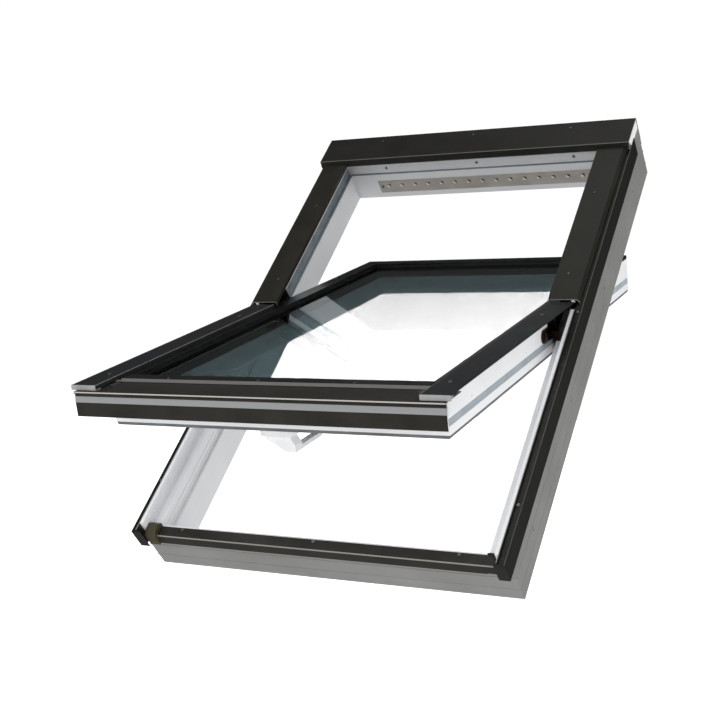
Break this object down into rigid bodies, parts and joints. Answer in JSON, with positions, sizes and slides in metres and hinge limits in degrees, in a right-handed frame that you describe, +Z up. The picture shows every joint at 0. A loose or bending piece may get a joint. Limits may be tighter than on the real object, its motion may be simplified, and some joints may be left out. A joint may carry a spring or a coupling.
{
  "type": "roof skylight",
  "caption": "Centre-pivot roof skylight with a white plastic frame and sash, dark metal rain covers, double glazing, a vent strip and a lever handle, shown part open",
  "frame": {"origin": "centre of the sill's outer lower edge, on the room-side face of the frame", "axes": "+X to the right seen from outside, +Z straight up, +Y level and towards the ridge; the frame lies in a roof plane pitched at 45 degrees"},
  "size_m": [0.78, 1.1634, 0.9447],
  "materials": {
    "pvc_white": "white PVC, satin",
    "liner_grey": "grey extruded profile, satin",
    "cover_dark": "dark grey brown powder-coated aluminium",
    "cover_slate": "dark slate powder-coated aluminium",
    "bead_black": "black coated aluminium",
    "cap_grey": "light grey moulded plastic",
    "cap_bronze": "dark bronze moulded plastic",
    "block_olive": "olive brown moulded plastic",
    "steel_zinc": "zinc-plated steel",
    "bright_alu": "mill-finish aluminium",
    "vent_metal": "beige perforated sheet",
    "vent_foam": "brown filter foam",
    "gasket_grey": "grey rubber",
    "gasket_black": "black rubber",
    "bronze": "dark bronze plated steel",
    "glass_clear": "clear float glass",
    "glass_tint": "coated toughened glass",
    "screw_dark": "stainless steel",
    "handle_white": "white moulded handle"
  },
  "bodies": {
    "frame": {"stile_left": "pvc_white", "stile_right": "pvc_white", "head_member": "pvc_white", "sill_member": "pvc_white", "liner_left": "liner_grey", "liner_right": "liner_grey", "liner_head": "liner_grey", "liner_sill": "liner_grey", "frame_steel_sides": "steel_zinc", "frame_steel_head": "steel_zinc", "side_cover_left": "cover_dark", "side_cover_right": "cover_dark", "end_cap_left": "cap_bronze", "end_cap_right": "cap_bronze", "sill_cover": "cover_dark", "sill_block_left": "block_olive", "sill_block_right": "cover_dark", "wide_cover_left": "cover_dark", "wide_cover_right": "cover_dark", "cover_brackets": "bright_alu", "hood": "cover_dark", "head_box": "pvc_white", "vent_strip": "vent_metal", "vent_filter": "vent_foam", "frame_gasket": "gasket_grey", "hinge_housing_left": "bronze", "hinge_housing_right": "bronze", "lock_keeper": "steel_zinc", "cover_screws": "screw_dark", "frame_screws": "screw_dark", "hinge_screws": "screw_dark"},
    "sash": {"sash_stile_left": "pvc_white", "sash_stile_right": "pvc_white", "sash_head": "pvc_white", "sash_rail": "pvc_white", "sash_steel_sides": "steel_zinc", "sash_steel_ends": "steel_zinc", "pane_outer": "glass_tint", "pane_inner": "glass_clear", "pane_spacer": "bright_alu", "glazing_gasket": "gasket_black", "glazing_tape": "gasket_black", "bead_left": "bead_black", "bead_right": "bead_black", "bead_top": "bead_black", "bead_bottom": "bead_black", "sash_cover_left": "cover_slate", "sash_cover_right": "cover_slate", "sash_apron": "cover_slate", "apron_cap_left": "cap_grey", "apron_cap_right": "cap_grey", "cover_carriers": "pvc_white", "sash_gasket": "gasket_grey", "hinge_arm_left": "bronze", "hinge_arm_right": "bronze", "sash_screws": "screw_dark", "handle_base": "handle_white"},
    "handle": {"lever": "handle_white", "spindle": "steel_zinc"},
    "bolt": {"lock_bolt": "steel_zinc"}
  },
  "joints": [
    {"name": "sash_pivot", "type": "hinge", "parent": "frame", "child": "sash", "pos_m": [0, 0.32881, 0.53528], "axis": [-1, 0, 0], "range_deg": [-31.6, 128.4]},
    {"name": "handle_turn", "type": "hinge", "parent": "sash", "child": "handle", "pos_m": [0, -0.18383, 0.28363], "axis": [0, -0.2317, 0.9728], "range_deg": [0, 90]},
    {"name": "bolt_slide", "type": "slide", "parent": "sash", "child": "bolt", "axis": [0, -0.9728, -0.2317], "range_m": [0, 0.012]}
  ],
  "couplings": [
    {"joint": "bolt_slide", "follows": "handle_turn", "m_per_rad": 0.0076394}
  ]
}
